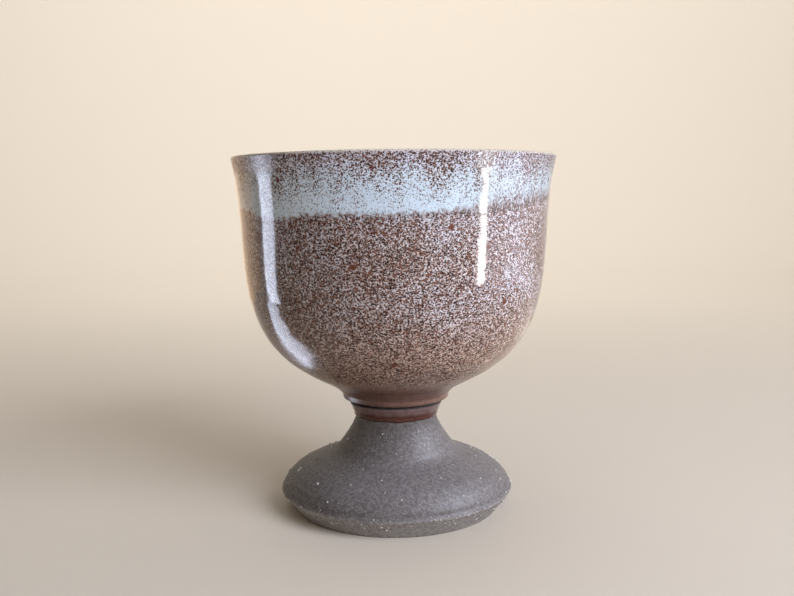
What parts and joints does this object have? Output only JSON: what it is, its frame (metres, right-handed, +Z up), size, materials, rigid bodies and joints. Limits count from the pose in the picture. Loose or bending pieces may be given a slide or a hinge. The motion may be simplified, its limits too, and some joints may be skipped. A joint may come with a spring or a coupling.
{
  "type": "pottery goblet",
  "caption": "Stoneware goblet: a round-bottomed cup with a speckled glaze and a white band below the rim, on a short neck and a domed foot of bare clay.",
  "frame": {"origin": "centre of the ring that the foot stands on, at table level", "axes": "+Z up along the axis of turning; X and Y are free, since the form is turned"},
  "size_m": [0.0892, 0.0892, 0.0988],
  "materials": {
    "bowl_stoneware": "fired stoneware under glaze",
    "bare_stoneware": "bare fired stoneware with pale grog",
    "joining_slip": "fired slip",
    "speckled_glaze": "glossy, iron-speckled",
    "rust_brown_glaze": "glossy, broken to rust brown",
    "white_glaze": "glossy off-white with iron specks",
    "liner_glaze": "glossy, iron-speckled"
  },
  "bodies": {
    "root": {"bowl": "bowl_stoneware", "pedestal_foot": "bare_stoneware", "joining_slip": "joining_slip", "outer_glaze": "speckled_glaze", "stem_glaze": "rust_brown_glaze", "rim_glaze": "white_glaze", "liner_glaze": "liner_glaze"}
  },
  "joints": []
}
